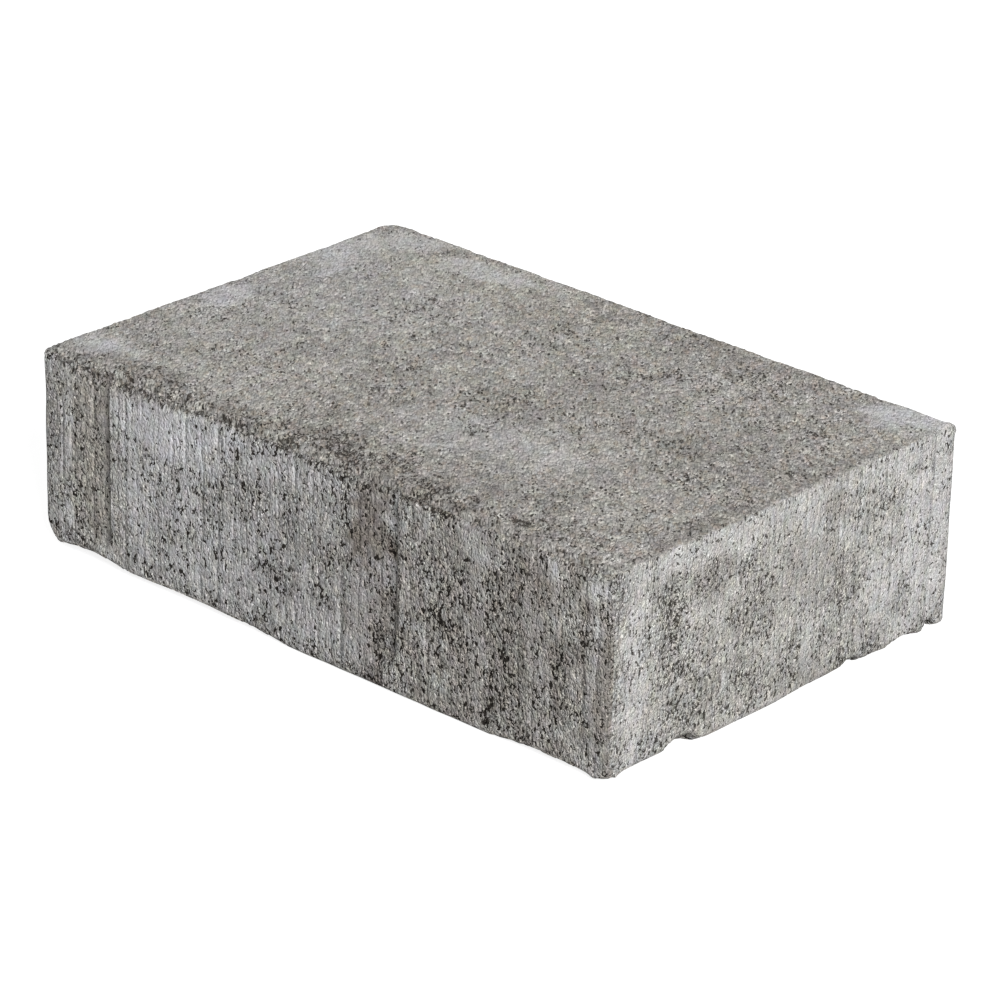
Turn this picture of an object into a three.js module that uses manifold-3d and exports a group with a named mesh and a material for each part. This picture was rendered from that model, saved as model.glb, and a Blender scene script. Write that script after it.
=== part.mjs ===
// A concrete paving stone, pressed in one piece in a steel mould.
// Millimetres, +Z up, with the origin under the middle of the bed.
// Length runs along X and width along Y. The front is the long side that faces -Y.

import * as THREE from "three";
import { mergeVertices } from "three/addons/utils/BufferGeometryUtils.js";
import Module from "manifold-3d";

const wasm = await Module();
wasm.setup();

// Overall size of the stone.
const length = 210;
const width = 140;
const height = 60;

// Rounding of the top arrises. The front one is the most worn.
const frontTopArris = 3.6;
const backTopArris = 2.4;
const rightTopArris = 1.6;
const leftTopArris = 2;

// Rounding of the edges round the bed.
const bedArris = 2.4;

// Rounding of the upright corners.
const frontLeftCorner = 1.8;
const frontRightCorner = 4.4;
const backRightCorner = 1.4;
const backLeftCorner = 10;

// Facets in each quarter turn of a rounding.
const roundingSteps = 6;

// Upright grooves that the mould leaves in the sides. Seen from outside, the floor of each
// slopes in from the left and ends at a steep wall. The wall is set off from the side's left
// or right corner, and the foot is how far above the bed the groove ends.
const longSideGrooves = [
  { from: "left", offset: 26.2, width: 14.6, depth: 1.8, foot: 6 },
  { from: "right", offset: 75, width: 13, depth: 1.5, foot: 8 },
  { from: "right", offset: 2.2, width: 2.9, depth: 0.9, foot: 34 },
];
const endGrooves = [
  { from: "left", offset: 26, width: 9, depth: 1, foot: 26 },
  { from: "right", offset: 7, width: 3.4, depth: 0.7, foot: 12 },
];

// Rounding of a groove's foot, where the groove is wide enough for it.
const grooveFootRounding = 5;

// The two front corners of the bed, knocked round in handling. The left one is worse.
const leftKnock = { reach: 9, rise: 10 };
const rightKnock = { reach: 8, rise: 5 };

// Chips and long worn hollows in the bed edges of the front and right sides. Each is set off
// from the side's left corner to its own middle.
const frontChips = [
  { offset: 18, length: 34, rise: 3.6, reach: 6 },
  { offset: 55, length: 84, rise: 2.5, reach: 4.2 },
  { offset: 190, length: 46, rise: 2.1, reach: 3.6 },
];
const rightChips = [
  { offset: 12, length: 60, rise: 2.5, reach: 4 },
  { offset: 29.4, length: 15, rise: 4.6, reach: 7 },
  { offset: 94, length: 54, rise: 1.8, reach: 3 },
  { offset: 100, length: 9, rise: 3.3, reach: 5.5 },
  { offset: 122, length: 16, rise: 2.2, reach: 4 },
  { offset: 133.6, length: 6, rise: 3.6, reach: 5.5 },
];
const chipSegments = 28;

// How far the cutters stand clear of the faces that they cut.
const clearance = 5;

const concrete = new THREE.MeshStandardMaterial({
  color: 0x9c9995,
  roughness: 0.95,
  metalness: 0,
  flatShading: true,
});

const front = new THREE.Vector3(0, -1, 0);
const right = new THREE.Vector3(1, 0, 0);
const back = new THREE.Vector3(0, 1, 0);
const left = new THREE.Vector3(-1, 0, 0);
const top = new THREE.Vector3(0, 0, 1);
const bed = new THREE.Vector3(0, 0, -1);

// Turns a closed three.js geometry into a solid that can be cut.
function toSolid(geometry) {
  const bare = geometry.clone();
  bare.deleteAttribute("normal");
  bare.deleteAttribute("uv");
  const merged = mergeVertices(bare);
  const mesh = new wasm.Mesh({
    numProp: 3,
    vertProperties: new Float32Array(merged.attributes.position.array),
    triVerts: new Uint32Array(merged.index.array),
  });
  return new wasm.Manifold(mesh);
}

// Turns a solid back into a three.js geometry.
function toGeometry(solid) {
  const mesh = solid.getMesh();
  const geometry = new THREE.BufferGeometry();
  geometry.setAttribute("position", new THREE.BufferAttribute(mesh.vertProperties, 3));
  geometry.setIndex(new THREE.BufferAttribute(mesh.triVerts, 1));
  return geometry;
}

// Distance from the middle of the block to the face that looks in the given direction.
function halfSpan(direction) {
  const alongX = Math.abs(direction.x) * length;
  const alongY = Math.abs(direction.y) * width;
  const alongZ = Math.abs(direction.z) * height;
  return (alongX + alongY + alongZ) / 2;
}

// Middle of the edge where two faces of the block meet.
function edgeMiddle(faceA, faceB) {
  const middle = new THREE.Vector3(0, 0, height / 2);
  middle.addScaledVector(faceA, halfSpan(faceA));
  middle.addScaledVector(faceB, halfSpan(faceB));
  return middle;
}

// Everything outside a quarter ellipse between two directions: it rounds the edge it is put on.
// The reach is measured back from faceA, and the rise back from faceB.
function roundingCutter(faceA, faceB, middle, reach, rise, run) {
  const outline = new THREE.Shape();
  outline.moveTo(-reach, clearance);
  outline.lineTo(-reach, 0);
  outline.absellipse(-reach, -rise, reach, rise, Math.PI / 2, 0, true);
  outline.lineTo(clearance, -rise);
  outline.lineTo(clearance, clearance);
  const cutter = new THREE.ExtrudeGeometry(outline, {
    depth: run,
    bevelEnabled: false,
    curveSegments: roundingSteps,
  });
  cutter.translate(0, 0, -run / 2);
  const along = faceA.clone().cross(faceB);
  const placement = new THREE.Matrix4().makeBasis(faceA, faceB, along);
  placement.setPosition(middle);
  cutter.applyMatrix4(placement);
  return toSolid(cutter);
}

// Rounds the edge where two faces meet, along its whole run.
function edgeCutter(faceA, faceB, radius) {
  const along = faceA.clone().cross(faceB);
  const run = 2 * (halfSpan(along) + clearance);
  return roundingCutter(faceA, faceB, edgeMiddle(faceA, faceB), radius, radius, run);
}

// Rounds off the corner between the bed and an upright corner that is itself rounded.
function cornerCutter(faceA, faceB, uprightRadius, knock) {
  const outward = faceA.clone().add(faceB).normalize();
  const corner = edgeMiddle(faceA, faceB);
  corner.z = 0;
  corner.addScaledVector(outward, -uprightRadius * (Math.SQRT2 - 1));
  const run = 4 * (knock.reach + uprightRadius + clearance);
  return roundingCutter(outward, bed, corner, knock.reach, knock.rise, run);
}

// Moves a cutter made for the front side to another side of the stone.
function toSide(cutter, side) {
  const turn = Math.atan2(side.x, -side.y);
  cutter.translate(0, -halfSpan(side), 0);
  cutter.rotateZ(turn);
  return toSolid(cutter);
}

// Distance between a side's left and right corners.
function sideSpan(side) {
  const across = side.clone().cross(top);
  return 2 * halfSpan(across);
}

// A groove's outline on its side, with a rounded foot, pushed out through the side
// and swung about its steep wall until the floor meets the side at its left edge.
function grooveCutter(groove, side) {
  const rounding = Math.min(grooveFootRounding, groove.width / 2);
  const head = height + clearance;
  const outline = new THREE.Shape();
  outline.moveTo(0, head);
  outline.lineTo(-groove.width, head);
  outline.lineTo(-groove.width, groove.foot + rounding);
  outline.absarc(rounding - groove.width, groove.foot + rounding, rounding, Math.PI, Math.PI * 1.5, false);
  outline.absarc(-rounding, groove.foot + rounding, rounding, Math.PI * 1.5, Math.PI * 2, false);
  const cutter = new THREE.ExtrudeGeometry(outline, {
    depth: groove.depth + clearance,
    bevelEnabled: false,
    curveSegments: roundingSteps,
  });
  cutter.rotateX(Math.PI / 2);
  cutter.rotateZ(Math.asin(groove.depth / groove.width));
  const halfSide = sideSpan(side) / 2;
  const wall = groove.from === "left" ? groove.offset - halfSide : halfSide - groove.offset;
  cutter.translate(wall, groove.depth, 0);
  return toSide(cutter, side);
}

// A rounded scoop out of the bed edge.
function chipCutter(chip, side) {
  const cutter = new THREE.SphereGeometry(1, chipSegments, chipSegments / 2);
  cutter.scale(chip.length / 2, chip.reach, chip.rise);
  cutter.translate(chip.offset - sideSpan(side) / 2, 0, 0);
  return toSide(cutter, side);
}

function pavingStone() {
  const block = new THREE.BoxGeometry(length, width, height);
  block.translate(0, 0, height / 2);

  const cutters = [
    edgeCutter(front, top, frontTopArris),
    edgeCutter(back, top, backTopArris),
    edgeCutter(right, top, rightTopArris),
    edgeCutter(left, top, leftTopArris),
    edgeCutter(front, left, frontLeftCorner),
    edgeCutter(front, right, frontRightCorner),
    edgeCutter(back, right, backRightCorner),
    edgeCutter(back, left, backLeftCorner),
    cornerCutter(front, left, frontLeftCorner, leftKnock),
    cornerCutter(front, right, frontRightCorner, rightKnock),
  ];
  for (const side of [front, right, back, left]) {
    cutters.push(edgeCutter(side, bed, bedArris));
  }
  for (const side of [front, back]) {
    cutters.push(...longSideGrooves.map((groove) => grooveCutter(groove, side)));
  }
  for (const side of [right, left]) {
    cutters.push(...endGrooves.map((groove) => grooveCutter(groove, side)));
  }
  cutters.push(...frontChips.map((chip) => chipCutter(chip, front)));
  cutters.push(...rightChips.map((chip) => chipCutter(chip, right)));

  const solid = cutters.reduce((stone, cutter) => stone.subtract(cutter), toSolid(block));
  const mesh = new THREE.Mesh(toGeometry(solid), concrete);
  mesh.name = "paving_stone";
  return mesh;
}

const part = new THREE.Group();
part.add(pavingStone());

export default part;
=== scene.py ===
"""Finished look of a pressed concrete paving stone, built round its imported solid. Metres, +Z up."""

import math

import bmesh
import bpy
from mathutils import Matrix, Vector, noise
from mathutils.bvhtree import BVHTree


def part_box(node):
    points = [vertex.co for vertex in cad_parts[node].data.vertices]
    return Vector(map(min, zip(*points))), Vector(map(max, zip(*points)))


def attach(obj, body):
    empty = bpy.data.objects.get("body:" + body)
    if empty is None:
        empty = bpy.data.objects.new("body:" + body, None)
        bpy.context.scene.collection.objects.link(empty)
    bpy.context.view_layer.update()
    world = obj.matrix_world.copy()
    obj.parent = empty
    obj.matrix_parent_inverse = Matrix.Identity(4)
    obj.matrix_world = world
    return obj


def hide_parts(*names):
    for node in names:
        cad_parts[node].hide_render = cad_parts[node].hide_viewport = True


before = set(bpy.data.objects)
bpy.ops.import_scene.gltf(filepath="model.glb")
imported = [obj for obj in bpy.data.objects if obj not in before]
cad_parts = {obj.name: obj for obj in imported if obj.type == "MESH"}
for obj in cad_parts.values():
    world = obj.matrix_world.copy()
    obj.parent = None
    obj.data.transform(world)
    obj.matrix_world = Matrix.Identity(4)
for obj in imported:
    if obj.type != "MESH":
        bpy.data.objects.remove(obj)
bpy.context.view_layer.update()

MM = 0.001
LOW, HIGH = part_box("paving_stone")
HALF_LENGTH = HIGH.x / MM
HALF_WIDTH = HIGH.y / MM
HEIGHT = HIGH.z / MM

# Camera: where it stands round the stone, what it looks at, and its lens.
CAMERA_AZIMUTH = 41.96
CAMERA_ELEVATION = 24.07
CAMERA_ROLL = 1.576
CAMERA_DISTANCE = 1.4677
CAMERA_AIM = (-0.00468, 0.00855, 0.02125)
CAMERA_LENS = 190.58
CAMERA_SENSOR = 36

# Studio: a floor and a world that show white, and two soft boxes.
FLOOR_SIZE = 12.0
FLOOR_COLOUR = (0.4, 0.4, 0.4, 1)
FLOOR_LIFT = 0.84
WORLD_LIGHT = 0.25
LAMP_DISTANCE = 2.4
KEY_LIGHT = {"azimuth": 60, "elevation": 31, "size": 0.9, "watts": 73}
BACK_LIGHT = {"azimuth": 225, "elevation": 20, "size": 1.6, "watts": 25}

# Mesh of the finished stone, in millimetres. The top, the front and the right end are twice
# as fine, and the worn front arris is finer again.
MESH_SIZE = 1.76
WORN_BAND = 7.0
WELD = 0.001

# Edges turned by more degrees than this are shaded as sharp, which keeps small lumps crisp.
CREASE = 48

# How far up or out a place has to face to belong to the top, the front or the right end.
TOP_FACING = 0.7
SIDE_FACING = 0.5
TOP_AND_ARRIS_FACING = 0.4

# The nature of a side comes in as a place turns from facing up, and that of an end as it turns
# to face the end.
SIDE_TURN = (0.85, 0.5)
END_TURN = (0.5, 0.9)

# Unevenness is a sum of ripples. Each ripple has its wave in millimetres, its height or share,
# and its seed, which moves the noise by so many steps.
SEED_STEP = Vector((1, 3, 7))
SWELL = ((55, 0.35, 1),)
UNEVENNESS = ((9, 0.14, 3),)
GRIT = ((1.5, 0.22, 61),)
WORN_HOLLOWS = ((6, 0.3, 9),)
WEAR_FRAY = ((14, 0.55, 11), (6, 0.35, 12))
PATCH_FRAY = ((9, 0.7, 2), (3.5, 0.4, 5))
BROAD_CROWD = ((16, 1.0, 31),)
FINE_CROWD = ((7, 0.6, 32), (3.2, 0.35, 33))
BLOTCH = ((30, 1.0, 41), (12, 0.5, 42))
BLOTCH_MIDDLE = 0.5

# How much of the broad crowding the sides leave out, and how much of the grit paste covers.
SIDE_CALM = 0.6
GRIT_UNDER_PASTE = 0.6

# Streaks of paste that run up the sides. Each ripple also has how little it changes upwards.
STREAKS = ((7, 1.0, 71, 0.1), (3, 0.5, 72, 0.5))
STREAK_RANGE = (0.1, 0.4)
STREAK_PASTE = 0.5
CORNER_RUB = (1, 7)

# Lumps of the top and of the worn arris: spacing, bend and depths in millimetres.
LUMP_SPACING = 2.2
LUMP_BEND = 0.7
LUMP_BEND_WAVE = 2
LUMP_BEND_SEEDS = (51, 52, 53)
LUMP_GAP = (0.5, 0.05)
LUMP_DEPTH = 0.35
LUMP_RANGE = (-0.5, 0.6)
LUMPS_UNDER_PASTE = 1.2
WORN_LUMP_DEPTH = 0.8
WORN_SINK = 0.15
TOP_LIFT = 0.1

# How far edges stand out from the solid's rounding and where that fades, in millimetres.
LEFT_CORNER_CRISP = 1.7
LEFT_CORNER_FADE = (16, 4)
RIGHT_CORNER_CRISP = 3.4
RIGHT_CORNER_FADE = (8, 3)
RIGHT_EDGE_CRISP = 2.2
RIGHT_EDGE_FADE = (4, 1)

# How far the wear of each top arris reaches from the edge, in millimetres. The front arris is
# worn more in its left part, and hardly at its left end.
FRONT_WEAR = 2.4
FRONT_LEFT_WEAR = 4.8
FRONT_LEFT_FADE = (-30, -60)
FRONT_END_FADE = (-4, 14)
BACK_WEAR = 0.8
RIGHT_WEAR = 0.6
LEFT_WEAR = 0.8
WEAR_LIMIT = 2.5

# Between these shares of its size a patch or a worn strip fades in. Past the limit a patch ends.
SOFT_EDGE = (1.25, 0.45)
PATCH_LIMIT = 2

# Grain of the concrete: spacings and waves in millimetres, its turn in degrees, and how far it
# is stretched along each way.
STONE_SPACING = 1.35
SAND_SPACING = 0.72
SPECK_SPACING = 0.4
BEND = 0.7
BEND_WAVE = 0.9
GRAIN_TURN = 42
TOP_GRAIN = (1, 2, 1.45)
SIDE_GRAIN = (0.85, 0.85, 1.2)
END_GRAIN = (0.78, 0.78, 1.08)
GRAIN_FRAY_WAVE = 1.3
MISSING_WAVE = 1.4
CLOUD_ROUGHNESS = 0.5

# How much of the grain's own tone paste and the mould's skin cover.
PASTE_COVER = 0.75
SKIN_COVER = 0.7

# Upright ribs and short dashes that the mould leaves on the sides: spacings, waves and how far
# the ribs wander in millimetres, and where they are combed in.
RIB_SPACING = 2.1
RIB_EDGE = (0.4, 0.05)
RIB_WANDER = 2.6
RIB_WANDER_WAVE = 4
RIB_WANDER_SQUEEZE = (1, 1, 0.22)
RIB_DRAG = 0.9
COMBED_WAVE = 4.5
COMBED_SQUEEZE = (1, 1, 0.5)
COMBED_RANGE = (0.38, 0.62)
DASH_GRAIN = (0.75, 0.75, 2.6)
DASH_SPACING = 1.1
DASHED_WAVE = 3
DASHED_RANGE = (0.3, 0.65)
DASHES_UNDER_PASTE = 0.6

# From here on, apart from colours, three values are for the top, the long sides and the ends.
# Two values are the ends of a fade where the name ends in EDGE or RANGE, and otherwise they are
# for bare concrete and for the skin that the mould leaves.

# How loose the grain is.
LOOSE = (-0.04, 0, 0)
LOOSE_BY_CROWD = (0.17, 0.2, 0.26)
LOOSE_BY_OPEN = (0.3, 0.2, 0.2)
LOOSE_BY_WEAR = 0.05
LOOSE_BY_PASTE = -0.14

# Width of the gaps round the stones and round the sand, as shares of their spacing.
STONE_GAP = (-0.26, -0.1, -0.13)
STONE_GAP_SPREAD = (1.9, 2.5)
STONE_GAP_BY_LOOSE = 1.1
STONE_GAP_MOST = (0.2, 0.3)
SAND_GAP = (-0.89, -0.85, -0.85)
SAND_GAP_SPREAD = 0.9
SAND_GAP_BY_LOOSE = 0.6
SAND_GAP_MOST = (0.24, 0.28)
DENT_EDGE = (-0.12, 0.08)
GAP_EDGE = (-0.02, 0.12)
# Where the painted highlight round a gap fades in.
RIM_HIGHLIGHT_EDGE = (-0.25, -0.06)
GAP_SHARE = (0.8, 0.95)
DENT_UNDER_RIDGE = 0.6
GAP_UNDER_RIDGE = 0.8

# Holes where a grain of sand has come out, and pits in the middle of a few stones of the top.
HOLE_CHANCE = (0.01, 0, -0.03)
HOLE_CHANCE_SPREAD = 0.8
HOLE_CHANCE_BY_LOOSE = 1.2
HOLE_CHANCE_MOST = 0.24
HOLE_PICK = 0.92
HOLE_RADIUS = 0.54
HOLE_EDGE = (0, 0.12)
PIT_PICK = 0.74
PIT_RADIUS = 0.34
PIT_EDGE = (0, 0.1)
PICK_EDGE = (0, 0.05)

# Relief: depths, domes and steps in millimetres, and how they grow on the skin and where the
# concrete is rough.
DENT_DEPTH = 0.45
GAP_DEPTH = 0.5
DEPTH_SHARE = (1, 1.6)
PIT_DEPTH = 0.5
ROUGH_BY_CROWD = 0.6
ROUGH_RANGE = (-0.4, 0.6)
SAND_DOME = 0.3
SAND_DOME_BARE = 0.34
SAND_DOME_ROUGH = 0.4
STONE_DOME = 0.2
STONE_DOME_ROUGH = 0.9
DASH_DOME = 0.35
RIB_DOME = 1.2
RIB_STEP = 0.2
CRUMB = (0.7, 0.2, 0.2)
CRUMB_ROUGH = 0.4

# Colours of the concrete.
SANDY_DARK = (0.332, 0.32, 0.304, 1)
SANDY_PALE = (0.418, 0.406, 0.387, 1)
SKIN_DARK = (0.287, 0.283, 0.275, 1)
SKIN_PALE = (0.37, 0.368, 0.362, 1)
WARM_TINT = (1.01, 1.003, 0.96)
# Darkening of the dull patches, which are partly painted shade.
DULL_AND_SHADE_TINT = (0.695, 0.675, 0.67)
# Painted shade in the dents, a darker brown-grey.
DENT_SHADE_TINT = (0.5, 0.45, 0.4)
# Brown of the stains, which also stands in as painted shade in the grooves.
STAIN_AND_SHADE = (0.2, 0.175, 0.15, 1)
PASTE = (0.488, 0.485, 0.494, 1)
OPEN_BODY = (0.2, 0.185, 0.165, 1)
WARM_GRAIN = (0.36, 0.29, 0.23, 1)
PALE_GRAIN = (0.5, 0.49, 0.46, 1)
BRIGHT_SPECK = (0.65, 0.64, 0.61, 1)
# Near-black painted shade for the gaps and pits.
PORE_SHADE = (0.013, 0.011, 0.009, 1)

# How strongly each colour shows, and which stones and specks take it.
OPEN_SHARE = 0.3
WARM_GRAIN_SHARE = 0.35
WARM_GRAIN_PICK = 0.6
WARM_GRAIN_EDGE = (0, 0.4)
PALE_GRAIN_SHARE = 0.6
PALE_GRAIN_RANGE = (0.9, 0.92)
SPECK_SHARE = (0.25, 0.65, 0.65)
SPECK_RANGE = (0.94, 0.95)
STAIN_AND_SHADE_SHARE = 0.5
# Share of the painted shade in the dents.
DENT_SHADE_SHARE = 0.6
# Shares of the painted black shade in the gaps (less on the ends, where the lamp reaches in) and in the
# pits.
PORE_SHADE_SHARE = (0.8, 1)
PORE_SHADE_ENDS = -0.22
PIT_SHADE_SHARE = 0.7

# Slow drift of the hue: its range in red, green and blue, and its wave.
HUE_DRIFT = (0.16, 0.09, 0.22)
HUE_WAVE = 3.4

# How much lighter or darker each pattern makes the concrete.
SPECK_TONE = (0.36, 0.36, 0.52)
SAND_TONE = 0.45
STONE_TONE = 0.25
# Painted highlight on the edges of the upright ribs.
RIDGE_HIGHLIGHT = 0.12
DASH_TONE = 0.2
# Painted highlight on the rims round the gaps of the sides, and how much more it has in dull patches and
# on the ends.
RIM_HIGHLIGHT = 0.4
RIM_HIGHLIGHT_DULL = 0.4
RIM_HIGHLIGHT_ENDS = 0.35
DRAG_TONE = 0.7
DRAG_UNDER_PASTE = 0.5
MISSING_TONE = 0.6
CROWD_TONE = 0.08
# Painted shade in the hollows between the lumps of the top and of the worn arris, and the depths over
# which it comes in.
HOLLOW_SHADE = 0.2
HOLLOW_SHADE_RANGE = (0.3, 0.9)
MOTTLE_TONE = 0.5
MOTTLE_WAVE = 6

ROUGHNESS = 0.92
SHINE = 0.05

# Patches of each kind on each face: middle and half size along the face, and strength. Paste is smooth
# and pale, open is coarse, warm is sandy in colour, a stain is brown and partly painted shade in the
# grooves, and a dull patch is darker, partly as painted shade.
PATCHES = {
    "paste": {
        "top": [
            ((95, 62), (13, 9), 1.0),
            ((28, -28), (26, 15), 0.4),
            ((-94, -58), (11, 8), 1.0),
            ((-58, 59), (20, 7), 0.85),
            ((-88, 60), (14, 9), 0.85),
            ((-98, 40), (10, 20), 0.8),
            ((-96, -10), (9, 14), 0.8),
            ((-45, 60), (30, 14), 0.15),
            ((-78, 22), (38, 60), 0.25),
        ],
        "front": [
            ((-58, 48), (21, 13), 1.0),
            ((-40, 52), (12, 7), 0.9),
            ((-12, 52), (18, 6), 0.5),
            ((-34, 14), (26, 9), 0.4),
            ((-53, 28), (10, 8), 0.5),
            ((17, 18), (3.5, 14), 0.6),
            ((4, 11), (16, 8), 0.4),
            ((-50, 12), (9, 6), 0.45),
            ((-24, 26), (16, 8), 0.35),
        ],
        "end": [
            ((-60, 30), (5, 34), 0.7),
            ((55, 32), (9, 28), 0.9),
            ((18, 8), (10, 7), 0.3),
            ((50, 6), (10, 5), 0.6),
            ((-20, 56), (46, 5), 0.7),
            ((48, 56), (22, 5), 0.7),
            ((63, 32), (9, 32), 0.8),
            ((43, 20), (14, 14), 0.8),
            ((-8, 1), (24, 3), 0.9),
            ((8, 45), (6, 4), 0.4),
            ((15, 30), (60, 40), 0.25),
        ],
    },
    "open": {
        "top": [
            ((18, -62), (58, 8), 0.75),
            ((70, -62), (30, 6), 0.5),
            ((-60, -62), (40, 6), 0.6),
        ],
        "front": [
            ((70, 44), (13, 11), 0.4),
            ((66, 20), (36, 24), 0.4),
            ((50, 34), (34, 20), 0.4),
            ((-42, 32), (16, 9), 0.15),
            ((-20, 40), (16, 8), 0.2),
            ((-60, 58.5), (42, 2), 0.4),
            ((10, 58.5), (56, 3), 0.5),
            ((52, 20), (6, 14), 0.7),
            ((23, 25), (3.5, 28), 0.5),
            ((97, 43), (5, 6), 0.8),
            ((-10, 1), (100, 6), 0.6),
        ],
        "end": [
            ((-46, 35), (7, 16), 0.6),
            ((-40, 20), (12, 12), 0.4),
            ((-14, 12), (18, 8), 0.4),
            ((-13, 36), (8, 12), 0.6),
            ((27, 29), (12, 14), 0.3),
            ((-30, 46), (8, 7), 0.4),
        ],
    },
    # Dull patches: darker concrete, and painted shade on the groove walls, the rounding of the right
    # upright corner, the front arris and the right part of the top.
    "dull_and_shade": {
        "top": [
            ((50, -10), (50, 60), 0.2),
            ((62, -68), (40, 4), 0.8),
            ((30, -56), (45, 12), 0.4),
            ((10, -63), (52, 7), 0.1),
            ((38, 60), (30, 12), 0.5),
            ((34, -45), (14, 16), 0.5),
            ((-86, -62), (16, 6), 0.5),
            ((22, -68), (8, 4), 0.9),
            ((8, -67), (8, 4), 0.6),
            ((-38, -66), (8, 4), 0.6),
            ((95, 0), (8, 24), 0.5),
            ((102, -10), (4, 52), 0.6),
        ],
        "front": [
            ((68, 30), (36, 44), 1.0),
            ((21, 28), (8, 40), 1.5),
            ((19, 50), (9, 14), 0.6),
            ((4, 25), (24, 45), 0.25),
            ((36, 30), (9, 16), 1.2),
            ((103, 28), (5, 34), 1.3),
            ((60, 58), (40, 4), 0.8),
            ((97, 43), (5, 7), 1.4),
            ((97, 26), (5, 20), 1.3),
            ((82, 48), (8, 7), 0.9),
            ((52, 22), (8, 14), 1.4),
            ((20, 34), (26, 8), 0.5),
            ((-9, 45), (8, 7), 0.4),
            ((-71, 36), (8, 8), 0.4),
            ((-100, 37), (5, 8), 0.7),
            ((-83, 30), (4, 34), 0.4),
        ],
        "end": [
            ((0, 30), (160, 90), 0.15),
            ((19, 50), (8, 8), 0.8),
            ((-30, 46), (8, 7), 0.8),
            ((10, 36), (18, 14), 0.7),
            ((10, 6), (14, 6), 0.5),
        ],
    },
    "warm": {
        "top": [
            ((0, 0), (200, 200), 0.25),
            ((-55, 56), (60, 18), 1.0),
        ],
        "front": [
            ((75, 30), (60, 50), 0.8),
            ((-86, 30), (14, 40), 0.7),
        ],
        "end": [
            ((0, 30), (100, 60), 1.0),
        ],
    },
    # Stains: brown, and partly painted shade along the grooves of the front.
    "stain_and_shade": {
        "front": [
            ((-86, 32), (8, 28), 0.8),
            ((21, 48), (8, 15), 1.3),
            ((23, 23), (4, 28), 0.5),
            ((52, 22), (8, 12), 0.25),
            ((82, 51), (8, 6), 0.5),
            ((93, 38), (8, 16), 0.3),
            ((104, 25), (3.5, 28), 0.8),
            ((-78, 56), (18, 3), 0.4),
            ((-96, 54), (10, 6), 0.3),
        ],
        "end": [
            ((-8, 2), (30, 2.5), 0.5),
        ],
    },
}


def smooth(low, high, value):
    """0 below low, 1 above high, and an S-curve between. Low may be the larger."""
    share = min(max((value - low) / (high - low), 0), 1)
    return share * share * (3 - 2 * share)


def ripple(place, wave, seed):
    """Smooth noise between about -1 and 1, with bumps about a wave apart."""
    return noise.noise(place / wave + seed * SEED_STEP)


def ripples(place, layers):
    """Sum of ripples, each with its wave, its height or share, and its seed."""
    return sum(share * ripple(place, wave, seed) for wave, share, seed in layers)


def patch_strength(kind, place, face):
    """How strongly the patches of one kind cover a place on a face."""
    across = {"top": (place.x, place.y), "front": (place.x, place.z), "end": (place.y, place.z)}
    strongest = 0
    for middle, half, strength in PATCHES[kind].get(face, []):
        u = (across[face][0] - middle[0]) / half[0]
        v = (across[face][1] - middle[1]) / half[1]
        if abs(u) > PATCH_LIMIT or abs(v) > PATCH_LIMIT:
            continue
        away = math.hypot(u, v) + ripples(place, PATCH_FRAY)
        strongest = max(strongest, strength * smooth(*SOFT_EDGE, away))
    return strongest


def face_of(outward):
    """Name of the face that looks outward this way, for the patches."""
    if outward.z > TOP_FACING:
        return "top"
    if outward.y < -SIDE_FACING:
        return "front"
    if outward.x > SIDE_FACING:
        return "end"
    return "other"


def arris_wear(place):
    """Wear of the nearest top arris, from 0 to 1."""
    below_top = max(HEIGHT - place.z, 0)
    left_part = smooth(*FRONT_LEFT_FADE, place.x)
    front_reach = FRONT_WEAR + (FRONT_LEFT_WEAR - FRONT_WEAR) * left_part
    front_reach *= smooth(*FRONT_END_FADE, HALF_LENGTH + place.x)
    reaches = (
        (HALF_WIDTH + place.y, front_reach),
        (HALF_WIDTH - place.y, BACK_WEAR),
        (HALF_LENGTH - place.x, RIGHT_WEAR),
        (HALF_LENGTH + place.x, LEFT_WEAR),
    )
    strongest = 0
    for inside, reach in reaches:
        away = math.hypot(max(inside, 0), below_top)
        if away < WEAR_LIMIT * reach:
            frayed = reach * (1 + ripples(place, WEAR_FRAY))
            outer, inner = SOFT_EDGE
            strongest = max(strongest, smooth(frayed * outer, frayed * inner, away))
    return strongest


def lump_gap(place):
    """How near a place is to the gap between two lumps, from 0 on a lump to 1 in the gap."""
    bend = Vector([ripple(place, LUMP_BEND_WAVE, seed) for seed in LUMP_BEND_SEEDS]) * LUMP_BEND
    far = noise.voronoi((place + bend) / LUMP_SPACING)[0]
    return smooth(*LUMP_GAP, far[1] - far[0])


def streak_paste(place):
    """Paste left on a side in upright streaks, which is rubbed off at the upright corners."""
    streak = 0
    for wave, share, seed, upwards in STREAKS:
        streak += share * ripple(Vector((place.x, place.y, upwards * place.z)), wave, seed)
    from_corner = HALF_LENGTH + HALF_WIDTH - abs(place.x) - abs(place.y)
    return STREAK_PASTE * smooth(*STREAK_RANGE, streak) * smooth(*CORNER_RUB, from_corner)


def refine(shape, near):
    """Halves the mesh size of the faces whose middle is near."""
    faces = [face for face in shape.faces if near(face.calc_center_median() / MM, face.normal)]
    edges = {edge for face in faces for edge in face.edges}
    bmesh.ops.subdivide_edges(shape, edges=list(edges), cuts=1, use_grid_fill=True)


def on_main_face(middle, outward):
    """Whether a face of the mesh is on the top, its arrises, the front or the right end."""
    on_side = outward.y < -SIDE_FACING or outward.x > SIDE_FACING
    return outward.z > TOP_AND_ARRIS_FACING or on_side


def on_worn_arris(middle, outward):
    """Whether a face of the mesh is near the worn front arris."""
    return math.hypot(HALF_WIDTH + middle.y, HEIGHT - middle.z) < WORN_BAND and middle.y < 0


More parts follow.
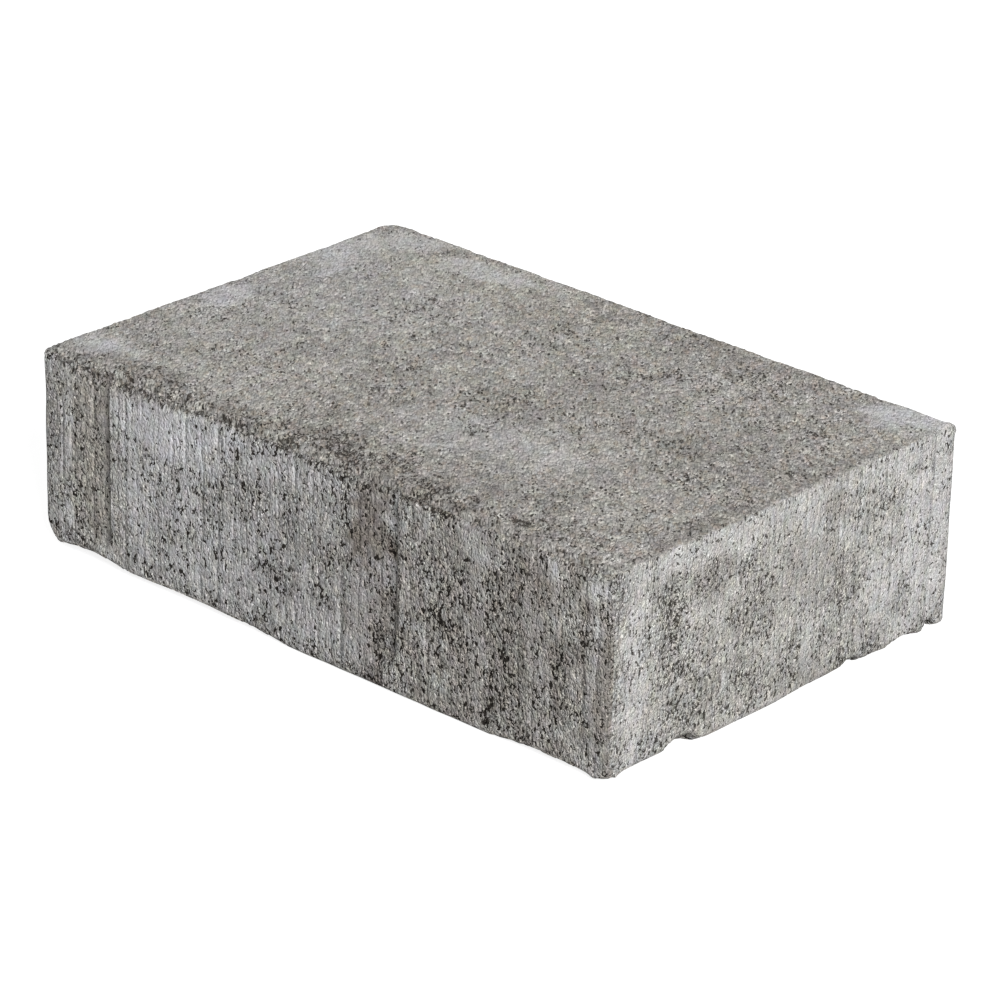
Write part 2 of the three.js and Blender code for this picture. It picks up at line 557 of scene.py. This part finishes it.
def even_mesh(shape):
    """An even fine mesh round a shape."""
    mesh = bpy.data.meshes.new("block")
    shape.to_mesh(mesh)
    block = bpy.data.objects.new("block", mesh)
    bpy.context.scene.collection.objects.link(block)
    evening = block.modifiers.new("even_mesh", "REMESH")
    evening.mode = "VOXEL"
    evening.voxel_size = MESH_SIZE * MM
    evened = block.evaluated_get(bpy.context.evaluated_depsgraph_get())
    even = bpy.data.meshes.new_from_object(evened)
    bpy.data.objects.remove(block)
    bpy.data.meshes.remove(mesh)
    return even


def dressed_mesh():
    """A fine mesh laid on the solid's own surface and roughened."""
    solid = bmesh.new()
    solid.from_mesh(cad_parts["paving_stone"].data)
    bmesh.ops.remove_doubles(solid, verts=solid.verts, dist=WELD * MM)
    surface = BVHTree.FromBMesh(solid)
    mesh = even_mesh(solid)
    solid.free()
    shape = bmesh.new()
    shape.from_mesh(mesh)
    refine(shape, on_main_face)
    refine(shape, on_worn_arris)
    for vert in shape.verts:
        vert.co = surface.find_nearest(vert.co)[0]
    shape.normal_update()
    roughen(shape)
    shape.to_mesh(mesh)
    shape.free()
    return mesh


def crispness(place, outward):
    """How far an edge stands out from the solid's rounding, in millimetres."""
    slant = 1 - max(abs(outward.x), abs(outward.y), abs(outward.z))
    from_left_corner = (place - Vector((-HALF_LENGTH, -HALF_WIDTH, HEIGHT))).length
    from_right_corner = math.hypot(HALF_LENGTH - place.x, HALF_WIDTH + place.y)
    left = LEFT_CORNER_CRISP * smooth(*LEFT_CORNER_FADE, from_left_corner)
    right = RIGHT_CORNER_CRISP * smooth(*RIGHT_CORNER_FADE, from_right_corner)
    edge = RIGHT_EDGE_CRISP * smooth(*RIGHT_EDGE_FADE, HALF_LENGTH - place.x)
    edge *= smooth(*RIGHT_EDGE_FADE, HEIGHT - place.z)
    return slant * max(left, right, edge)


def nature_of(place, outward):
    """What the concrete is like at a place, by the names that its material reads."""
    face = face_of(outward)
    side = smooth(*SIDE_TURN, abs(outward.z))
    wear = arris_wear(place)
    paste = patch_strength("paste", place, face) * (1 - wear)
    crowd = (1 - SIDE_CALM * side) * ripples(place, BROAD_CROWD) + ripples(place, FINE_CROWD)
    return {
        "side": side,
        "end": smooth(*END_TURN, abs(outward.x)),
        "wear": wear,
        "paste": max(paste, side * (1 - wear) * streak_paste(place)),
        "open": patch_strength("open", place, face),
        "dull_and_shade": patch_strength("dull_and_shade", place, face),
        "warm": patch_strength("warm", place, face),
        "stain_and_shade": patch_strength("stain_and_shade", place, face),
        "crowd": crowd,
        "blotch": BLOTCH_MIDDLE + ripples(place, BLOTCH),
    }


def hollow_at(place, nature):
    """How deep the surface sinks between the lumps of the top and the worn arris, in millimetres."""
    wear = nature["wear"]
    cover = nature["crowd"] + nature["open"] - LUMPS_UNDER_PASTE * nature["paste"]
    lump_depth = LUMP_DEPTH * smooth(*LUMP_RANGE, cover) * (1 - wear) + WORN_LUMP_DEPTH * wear
    return lump_gap(place) * lump_depth + wear * (WORN_SINK + ripples(place, WORN_HOLLOWS))


def roughen(shape):
    """Moves each point of the shape by the concrete's relief and notes what each place is like."""
    names = ("side", "end", "wear", "paste", "open", "dull_and_shade", "warm", "stain_and_shade", "hollow", "crowd", "blotch")
    layers = {name: shape.verts.layers.float.new(name) for name in names}
    for vert in shape.verts:
        place = vert.co / MM
        outward = vert.normal.copy()
        nature = nature_of(place, outward)
        shift = nature["side"] * ripples(place, SWELL) + ripples(place, UNEVENNESS)
        nature["hollow"] = 0
        if face_of(outward) == "top" or nature["wear"] > 0:
            nature["hollow"] = hollow_at(place, nature)
            shift += (ripples(place, GRIT) + TOP_LIFT) * (1 - GRIT_UNDER_PASTE * nature["paste"])
        shift += crispness(place, outward) - nature["hollow"]
        vert.co += outward * shift * MM
        vert.co.z = max(vert.co.z, LOW.z)
        for name, value in nature.items():
            vert[layers[name]] = value


class Socket:
    """A shader socket that can be used in Python sums. Each sum adds its Math nodes."""

    def __init__(self, shader, socket):
        self.shader = shader
        self.socket = socket

    def math(self, operation, *inputs):
        return self.shader.node("ShaderNodeMath", {"operation": operation}, dict(enumerate(inputs)))

    def __add__(self, other):
        return self.math("ADD", self, other)

    def __radd__(self, other):
        return self.math("ADD", other, self)

    def __sub__(self, other):
        return self.math("SUBTRACT", self, other)

    def __rsub__(self, other):
        return self.math("SUBTRACT", other, self)

    def __mul__(self, other):
        return self.math("MULTIPLY", self, other)

    def __rmul__(self, other):
        return self.math("MULTIPLY", other, self)

    def most(self, other):
        return self.math("MAXIMUM", self, other)

    def least(self, other):
        return self.math("MINIMUM", self, other)

    def fade(self, low, high):
        """0 at low, 1 at high, and an S-curve between."""
        settings = {"interpolation_type": "SMOOTHSTEP"}
        return self.shader.node("ShaderNodeMapRange", settings, {0: self, 1: low, 2: high})

    def centred(self):
        """A value between 0 and 1, as one between -0.5 and 0.5."""
        return self - 0.5

    def sibling(self, output):
        """Another output of the node that this socket comes from."""
        return Socket(self.shader, self.socket.node.outputs[output])

    def parts(self):
        """Red, green and blue, or x, y and z, as three sockets."""
        first = self.shader.node("ShaderNodeSeparateXYZ", {}, {0: self})
        return first, first.sibling(1), first.sibling(2)


class Shader:
    """The nodes of one material or of the world."""

    def __init__(self, owner):
        owner.use_nodes = True
        self.tree = owner.node_tree
        self.tree.nodes.clear()

    def node(self, kind, settings, inputs, output=0):
        """Adds a node of a kind, with its settings and then the values or links of its sockets."""
        made = self.tree.nodes.new(kind)
        for name, value in settings.items():
            setattr(made, name, value)
        for name, value in inputs.items():
            if isinstance(value, Socket):
                self.tree.links.new(value.socket, made.inputs[name])
            else:
                made.inputs[name].default_value = value
        if not made.outputs:
            return None
        return Socket(self, made.outputs[output])

    def mark(self, name):
        """A value noted on the mesh."""
        settings = {"attribute_type": "GEOMETRY", "attribute_name": name}
        return self.node("ShaderNodeAttribute", settings, {}, "Fac")

    def vector(self, operation, *inputs):
        return self.node("ShaderNodeVectorMath", {"operation": operation}, dict(enumerate(inputs)))

    def scaled(self, vector, factor):
        return self.node("ShaderNodeVectorMath", {"operation": "SCALE"}, {0: vector, "Scale": factor})

    def stretched(self, place, size, turn=(0, 0, 0)):
        """Place for a pattern that is turned and made longer by a size along each way."""
        settings = {"vector_type": "TEXTURE"}
        return self.node("ShaderNodeMapping", settings, {0: place, "Rotation": turn, "Scale": size})

    def mix(self, share, first, second):
        """Blends two colours. The Mix node takes colours at 6 and 7, and gives one at 2."""
        return self.node("ShaderNodeMix", {"data_type": "RGBA"}, {0: share, 6: first, 7: second}, 2)

    def cloud(self, place, wave, detail, output="Fac"):
        """Soft noise between 0 and 1, with clouds about a wave across."""
        sizes = {"Vector": place, "Scale": 1 / wave, "Detail": detail, "Roughness": CLOUD_ROUGHNESS}
        return self.node("ShaderNodeTexNoise", {}, sizes, output)

    def drift(self, place, wave, detail):
        """Soft noise between -0.5 and 0.5 in each of three ways."""
        cloud = self.cloud(place, wave, detail, "Color")
        return self.vector("SUBTRACT", cloud, (0.5, 0.5, 0.5))

    def cells(self, place, spacing, feature="F1"):
        """Distance from the middle of the nearest grain, or with F2 of the one after it."""
        sizes = {"Vector": place, "Scale": 1 / spacing}
        return self.node("ShaderNodeTexVoronoi", {"feature": feature}, sizes, "Distance")

    def strips(self, across, spacing, feature="F1"):
        """Side-by-side strips of uneven width."""
        settings = {"voronoi_dimensions": "1D", "feature": feature}
        sizes = {"W": across, "Scale": 1 / spacing}
        return self.node("ShaderNodeTexVoronoi", settings, sizes, "Distance")


class Concrete:
    """The patterns of the concrete. Each is made once, for both its relief and its colour."""

    def __init__(self, shader):
        self.shader = shader
        self.place = shader.scaled(shader.node("ShaderNodeTexCoord", {}, {}, "Object"), 1 / MM)
        self.side = shader.mark("side")
        self.end = shader.mark("end")
        self.wear = shader.mark("wear")
        self.paste = shader.mark("paste")
        self.open = shader.mark("open")
        self.dull_and_shade = shader.mark("dull_and_shade")
        self.crowd = shader.mark("crowd")
        self.upright = self.side * (1 - self.wear)
        self.bare = (1 - PASTE_COVER * self.paste) * (1 - SKIN_COVER * self.upright)
        self.laid = self.grain_place()
        self.lay_grains()
        self.lay_ribs()
        self.open_gaps()

    def on(self, top, side, end):
        """A value for the top, the long sides and the ends."""
        value = top
        if side != top:
            value = value + (side - top) * self.side
        if end != side:
            value = value + (end - side) * self.end
        return value

    def skinned(self, bare, skin):
        """A value for bare concrete and for the skin that the mould leaves."""
        return bare + (skin - bare) * self.upright

    def grain_place(self):
        """Place in the grain. It lies along the top, is longer up the sides, and is finer on the ends."""
        shader = self.shader
        laid = shader.stretched(self.place, TOP_GRAIN, (0, 0, math.radians(GRAIN_TURN)))
        frayed = shader.cloud(self.place, GRAIN_FRAY_WAVE, detail=1) - 1
        for mark, size in ((self.side, SIDE_GRAIN), (self.end, END_GRAIN)):
            there = mark + frayed
            there = there.math("GREATER_THAN", there, 0)
            step = shader.vector("SUBTRACT", shader.stretched(self.place, size), laid)
            laid = shader.vector("ADD", laid, shader.scaled(step, there))
        return laid

    def lay_grains(self):
        """Stones, the sand between them, and specks that are finer again."""
        shader = self.shader
        drag = shader.drift(self.laid, BEND_WAVE, detail=1)
        self.drag_x, self.drag_y, self.drag_z = drag.parts()
        self.bent = shader.vector("ADD", self.laid, shader.scaled(drag, BEND))
        self.stone_far = shader.cells(self.bent, STONE_SPACING)
        self.stone_edge = shader.cells(self.bent, STONE_SPACING, "F2") - self.stone_far
        self.stone_tone, self.stone_kind, _ = self.stone_far.sibling("Color").parts()
        self.sand_far = shader.cells(self.bent, SAND_SPACING)
        self.sand_tone, self.sand_kind, _ = self.sand_far.sibling("Color").parts()
        self.speck_tone = shader.cells(self.laid, SPECK_SPACING).sibling("Color").parts()[0]

    def lay_ribs(self):
        """Upright ribs and dashes that the mould leaves on the sides."""
        shader = self.shader
        x, y, _ = self.place.parts()
        wandering = shader.vector("MULTIPLY", self.place, RIB_WANDER_SQUEEZE)
        wander = shader.cloud(wandering, RIB_WANDER_WAVE, detail=2) * RIB_WANDER
        across = x + y + (wander + self.drag_x * RIB_DRAG)
        self.rib_far = shader.strips(across, RIB_SPACING)
        rib_edge = shader.strips(across, RIB_SPACING, "F2") - self.rib_far
        self.rib_tone = self.rib_far.sibling("Color").parts()[0]
        combing = shader.vector("MULTIPLY", self.place, COMBED_SQUEEZE)
        combed = shader.cloud(combing, COMBED_WAVE, detail=2).fade(*COMBED_RANGE)
        self.combed = combed * self.upright
        self.ridge = rib_edge.fade(*RIB_EDGE) * self.combed
        self.dash_far = shader.cells(shader.stretched(self.bent, DASH_GRAIN), DASH_SPACING)
        self.dash_tone = self.dash_far.sibling("Color").parts()[0]
        dashed = shader.cloud(self.place, DASHED_WAVE, detail=2).fade(*DASHED_RANGE)
        self.dashed = dashed * self.upright * (1 - DASHES_UNDER_PASTE * self.paste)

    def open_gaps(self):
        """Gaps round the grains where the skin does not close them, with holes and pits."""
        self.missing = self.shader.cloud(self.laid, MISSING_WAVE, detail=2).centred()
        loose = self.on(*LOOSE_BY_CROWD) * self.crowd + self.on(*LOOSE_BY_OPEN) * self.open
        loose = loose + LOOSE_BY_WEAR * self.wear + LOOSE_BY_PASTE * self.paste + self.on(*LOOSE)
        hole = self.hole(loose)
        depth = self.gap_depth(loose)
        self.dent = depth.fade(*DENT_EDGE).most(hole) * (1 - DENT_UNDER_RIDGE * self.ridge)
        gap = (depth.fade(*GAP_EDGE) * self.skinned(*GAP_SHARE)).most(hole)
        self.gap = gap * (1 - GAP_UNDER_RIDGE * self.ridge)
        # Rim round each gap, which takes a painted highlight.
        self.highlight_rim = depth.fade(*RIM_HIGHLIGHT_EDGE) * (1 - self.dent)
        pit = (PIT_RADIUS - self.stone_far).fade(*PIT_EDGE)
        pit = pit * (self.stone_tone - PIT_PICK).fade(*PICK_EDGE)
        self.pit = pit * (1 - self.side) * (1 - self.paste)

    def gap_depth(self, loose):
        """How far a place is into a gap round a stone or a grain of sand. It is below 0 on a grain."""
        width = self.missing * self.skinned(*STONE_GAP_SPREAD) + self.on(*STONE_GAP)
        width = width + STONE_GAP_BY_LOOSE * loose
        round_stone = width.least(self.skinned(*STONE_GAP_MOST)) - self.stone_edge
        bite = self.missing * SAND_GAP_SPREAD + loose * SAND_GAP_BY_LOOSE
        bite = bite.least(self.skinned(*SAND_GAP_MOST))
        return round_stone.most(self.sand_far + self.on(*SAND_GAP) + bite)

    def hole(self, loose):
        """Holes where a grain of sand has come out."""
        chance = HOLE_CHANCE_BY_LOOSE * loose + HOLE_CHANCE_SPREAD * self.missing
        chance = (chance + self.on(*HOLE_CHANCE)).least(HOLE_CHANCE_MOST)
        picked = (self.sand_kind + chance - HOLE_PICK).fade(*PICK_EDGE)
        return picked * (HOLE_RADIUS - self.sand_far).fade(*HOLE_EDGE)

    def height(self):
        """Height of the relief, in millimetres: domed grains, dashes and ribs, and sunk gaps."""
        rough = (self.crowd * ROUGH_BY_CROWD + self.open - self.paste).fade(*ROUGH_RANGE)
        rough_skin = rough * self.upright
        sunk = (DENT_DEPTH * self.dent + GAP_DEPTH * self.gap) * self.skinned(*DEPTH_SHARE)
        sunk = sunk + PIT_DEPTH * self.pit
        sand = SAND_DOME + SAND_DOME_BARE * self.bare + SAND_DOME_ROUGH * rough_skin
        sunk = sunk + self.sand_far * self.sand_far * sand
        stone = STONE_DOME + STONE_DOME_ROUGH * rough_skin
        sunk = sunk + self.stone_far * self.stone_far * stone
        sunk = sunk + self.dash_far * self.dash_far * DASH_DOME * self.dashed
        sunk = sunk + self.rib_far * self.rib_far * RIB_DOME * self.combed
        crumbs = self.drag_z * (self.on(*CRUMB) + CRUMB_ROUGH * self.side * rough)
        return self.rib_tone * RIB_STEP * self.combed + crumbs - sunk

    def body(self):
        """Colour of the concrete and its single grains, before patterns make it lighter or darker."""
        shader = self.shader
        blotch = shader.mark("blotch")
        sandy = shader.mix(blotch, SANDY_DARK, SANDY_PALE)
        body = shader.mix(self.upright, sandy, shader.mix(blotch, SKIN_DARK, SKIN_PALE))
        body = shader.mix(self.open * OPEN_SHARE, body, OPEN_BODY)
        warm_grain = (self.stone_kind - WARM_GRAIN_PICK).fade(*WARM_GRAIN_EDGE)
        body = shader.mix(warm_grain * WARM_GRAIN_SHARE * self.bare, body, WARM_GRAIN)
        pale_grain = self.stone_tone.fade(*PALE_GRAIN_RANGE)
        body = shader.mix(pale_grain * PALE_GRAIN_SHARE, body, PALE_GRAIN)
        speck = self.speck_tone.fade(*SPECK_RANGE)
        body = shader.mix(speck * self.on(*SPECK_SHARE), body, BRIGHT_SPECK)
        body = shader.mix(self.paste, body, PASTE)
        # Stains: brown, and partly painted shade in the grooves.
        body = shader.mix(shader.mark("stain_and_shade") * STAIN_AND_SHADE_SHARE, body, STAIN_AND_SHADE)
        # Dull patches darken the colour, partly as painted shade in the grooves and on the corner.
        body = shader.mix(self.dull_and_shade, body, shader.vector("MULTIPLY", body, DULL_AND_SHADE_TINT))
        body = shader.mix(shader.mark("warm"), body, shader.vector("MULTIPLY", body, WARM_TINT))
        hue = shader.drift(self.laid, HUE_WAVE, detail=2)
        hue = shader.vector("MULTIPLY_ADD", hue, HUE_DRIFT, (1, 1, 1))
        return shader.vector("MULTIPLY", body, hue)

    def tone(self):
        """How much lighter or darker than its body colour the concrete is, with painted highlights on gap
        rims and rib edges and painted shade in the hollows.
        """
        tone = 1 + self.speck_tone.centred() * self.on(*SPECK_TONE)
        tone = tone + self.sand_tone.centred() * SAND_TONE * self.bare
        tone = tone + self.stone_tone.centred() * STONE_TONE * self.bare
        # Painted highlight on the rib edges.
        tone = tone + self.ridge * RIDGE_HIGHLIGHT
        tone = tone + self.dash_tone.centred() * DASH_TONE * self.dashed
        # Painted highlight on the rims round the gaps of the sides.
        highlight_rim = self.highlight_rim * (RIM_HIGHLIGHT + RIM_HIGHLIGHT_DULL * self.dull_and_shade + RIM_HIGHLIGHT_ENDS * self.end)
        tone = tone + highlight_rim * self.upright
        tone = tone + self.drag_y * DRAG_TONE * (1 - DRAG_UNDER_PASTE * self.paste)
        tone = tone - (MISSING_TONE * self.missing + CROWD_TONE * self.crowd) * self.upright
        # Painted shade, deeper where the surface sinks between lumps.
        hollow = self.shader.mark("hollow").fade(*HOLLOW_SHADE_RANGE)
        tone = tone * (1 - HOLLOW_SHADE * hollow)
        mottle = self.shader.cloud(self.place, MOTTLE_WAVE, detail=2).centred()
        return tone * (1 + mottle * MOTTLE_TONE)

    def colour(self):
        """Colour of the concrete, with painted shade in its dents and near-black painted shade in its
        gaps and pits.
        """
        shader = self.shader
        colour = shader.scaled(self.body(), self.tone())
        # Painted shade in the dents.
        shaded_dents = shader.vector("MULTIPLY", colour, DENT_SHADE_TINT)
        colour = shader.mix(self.dent * DENT_SHADE_SHARE, colour, shaded_dents)
        # Painted black shade in the gaps and pits, lighter on the ends where the lamp reaches into them.
        pore_shade_share = self.skinned(*PORE_SHADE_SHARE) + PORE_SHADE_ENDS * self.end
        colour = shader.mix(self.gap * pore_shade_share, colour, PORE_SHADE)
        return shader.mix(self.pit * PIT_SHADE_SHARE, colour, PORE_SHADE)


def pressed_concrete():
    """Dry pressed concrete: sand and small stones, under a skin of paste that is whole in places only."""
    material = bpy.data.materials.new("pressed_concrete")
    shader = Shader(material)
    material.cycles.use_bump_map_correction = False
    concrete = Concrete(shader)
    bump = {"Height": concrete.height(), "Distance": MM, "Strength": 1.0}
    inputs = {
        "Base Color": concrete.colour(),
        "Roughness": ROUGHNESS,
        "Specular IOR Level": SHINE,
        "Normal": shader.node("ShaderNodeBump", {}, bump),
    }
    surface = shader.node("ShaderNodeBsdfPrincipled", {}, inputs)
    shader.node("ShaderNodeOutputMaterial", {}, {"Surface": surface})
    return material


def paving_stone():
    """The finished stone, which stands for the solid one."""
    mesh = dressed_mesh()
    mesh.name = "paving_stone_finished"
    mesh.polygons.foreach_set("use_smooth", [True] * len(mesh.polygons))
    mesh.set_sharp_from_angle(angle=math.radians(CREASE))
    mesh.materials.clear()
    mesh.materials.append(pressed_concrete())
    stone = bpy.data.objects.new("paving_stone_finished", mesh)
    bpy.context.scene.collection.objects.link(stone)
    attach(stone, "root")
    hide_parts("paving_stone")


def seen_directly(shader):
    """1 for what the camera, a reflection or a clear material sees, and 0 for light on the stone."""
    seen = shader.node("ShaderNodeLightPath", {}, {}, "Is Camera Ray")
    return seen + seen.sibling("Is Glossy Ray") + seen.sibling("Is Transmission Ray")


def studio_floor():
    """Pale floor that shows white and keeps the stone's shadow."""
    sheet = bmesh.new()
    bmesh.ops.create_grid(sheet, x_segments=1, y_segments=1, size=FLOOR_SIZE / 2)
    mesh = bpy.data.meshes.new("studio_floor")
    sheet.to_mesh(mesh)
    sheet.free()
    material = bpy.data.materials.new("white_floor")
    shader = Shader(material)
    matt = shader.node("ShaderNodeBsdfDiffuse", {}, {"Color": FLOOR_COLOUR})
    glow = shader.node("ShaderNodeEmission", {}, {"Strength": seen_directly(shader) * FLOOR_LIFT})
    both = shader.node("ShaderNodeAddShader", {}, {0: matt, 1: glow})
    shader.node("ShaderNodeOutputMaterial", {}, {"Surface": both})
    mesh.materials.append(material)
    floor = bpy.data.objects.new("studio_floor", mesh)
    bpy.context.scene.collection.objects.link(floor)


def studio_world():
    """Even light from all round, seen as white."""
    world = bpy.data.worlds.new("studio_world")
    bpy.context.scene.world = world
    shader = Shader(world)
    seen = seen_directly(shader).fade(0, 1)
    strength = WORLD_LIGHT + seen * (1 - WORLD_LIGHT)
    glow = shader.node("ShaderNodeBackground", {}, {"Color": (1, 1, 1, 1), "Strength": strength})
    shader.node("ShaderNodeOutputWorld", {}, {"Surface": glow})


def toward(azimuth, elevation):
    """Direction away from the stone. The azimuth is counted from the front to the right."""
    around = math.radians(azimuth)
    up = math.radians(elevation)
    return Vector((math.sin(around) * math.cos(up), -math.cos(around) * math.cos(up), math.sin(up)))


def soft_box(name, azimuth, elevation, size, watts):
    """A square area light aimed at the stone."""
    lamp = bpy.data.lights.new(name, "AREA")
    lamp.shape = "SQUARE"
    lamp.size = size
    lamp.energy = watts
    box = bpy.data.objects.new(name, lamp)
    away = toward(azimuth, elevation)
    box.location = away * LAMP_DISTANCE
    box.rotation_euler = away.to_track_quat("Z", "Y").to_euler()
    bpy.context.scene.collection.objects.link(box)


def camera():
    """The camera, with its slight roll."""
    around = math.radians(CAMERA_AZIMUTH)
    back = toward(CAMERA_AZIMUTH, CAMERA_ELEVATION)
    right = Vector((math.cos(around), math.sin(around), 0))
    turn = Matrix((right, back.cross(right), back)).transposed().to_4x4()
    turn @= Matrix.Rotation(math.radians(CAMERA_ROLL), 4, "Z")
    data = bpy.data.cameras.new("camera")
    data.lens = CAMERA_LENS
    data.sensor_width = CAMERA_SENSOR
    eye = bpy.data.objects.new("camera", data)
    eye.matrix_world = Matrix.Translation(Vector(CAMERA_AIM) + back * CAMERA_DISTANCE) @ turn
    bpy.context.scene.collection.objects.link(eye)
    bpy.context.scene.camera = eye


camera()
paving_stone()
studio_floor()
studio_world()
soft_box("key_light", **KEY_LIGHT)
soft_box("back_light", **BACK_LIGHT)
bpy.context.scene.view_settings.view_transform = "Standard"
